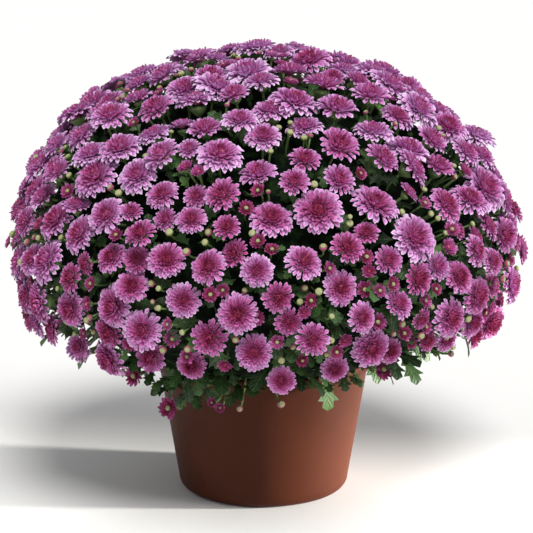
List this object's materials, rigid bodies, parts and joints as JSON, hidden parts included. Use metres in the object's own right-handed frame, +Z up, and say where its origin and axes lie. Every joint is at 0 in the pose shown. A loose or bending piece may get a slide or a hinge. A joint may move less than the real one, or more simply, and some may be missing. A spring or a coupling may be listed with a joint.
{
  "type": "pot chrysanthemum",
  "caption": "Pot chrysanthemum: a dome of pink double blooms, buds and lobed leaves on branching stems, rooted in soil in a tapered terracotta coloured plastic pot.",
  "frame": {"origin": "centre of the pot's flat underside, on the surface it stands on", "axes": "+Z up along the pot's axis; the front seen in the picture faces -Y"},
  "size_m": [0.5583, 0.5607, 0.4864],
  "materials": {
    "petal": "matte",
    "foliage": "matte",
    "pot": "satin",
    "soil": "matte"
  },
  "bodies": {
    "root": {"bloom_spray_01": "petal", "bloom_spray_02": "petal", "bloom_spray_03": "petal", "bloom_spray_04": "petal", "bloom_spray_05": "petal", "bloom_spray_06": "petal", "bloom_spray_07": "petal", "bloom_spray_08": "petal", "bloom_spray_09": "petal", "bloom_spray_10": "petal", "bloom_spray_11": "petal", "bloom_spray_12": "petal", "bloom_spray_13": "petal", "bloom_spray_14": "petal", "bloom_spray_15": "petal", "bloom_spray_16": "petal", "bloom_spray_17": "petal", "bloom_spray_18": "petal", "bloom_spray_19": "petal", "bloom_spray_20": "petal", "bloom_spray_21": "petal", "bloom_spray_22": "petal", "bloom_spray_23": "petal", "bloom_spray_24": "petal", "bloom_spray_25": "petal", "bloom_spray_26": "petal", "bloom_spray_27": "petal", "bloom_spray_28": "petal", "bloom_spray_29": "petal", "bloom_spray_30": "petal", "bloom_spray_31": "petal", "bloom_spray_32": "petal", "bloom_spray_33": "petal", "bloom_spray_34": "petal", "bloom_spray_35": "petal", "bloom_spray_36": "petal", "bloom_spray_37": "petal", "bloom_spray_38": "petal", "bloom_spray_39": "petal", "bloom_spray_40": "petal", "bloom_spray_41": "petal", "bloom_spray_42": "petal", "bloom_spray_43": "petal", "bloom_spray_44": "petal", "bloom_spray_45": "petal", "bloom_spray_46": "petal", "leafy_stem_1": "foliage", "leafy_stem_2": "foliage", "leafy_stem_3": "foliage", "leafy_stem_4": "foliage", "leafy_stem_5": "foliage", "leafy_stem_6": "foliage", "leafy_stem_7": "foliage", "leafy_stem_8": "foliage", "pot": "pot", "potting_soil": "soil"}
  },
  "joints": []
}
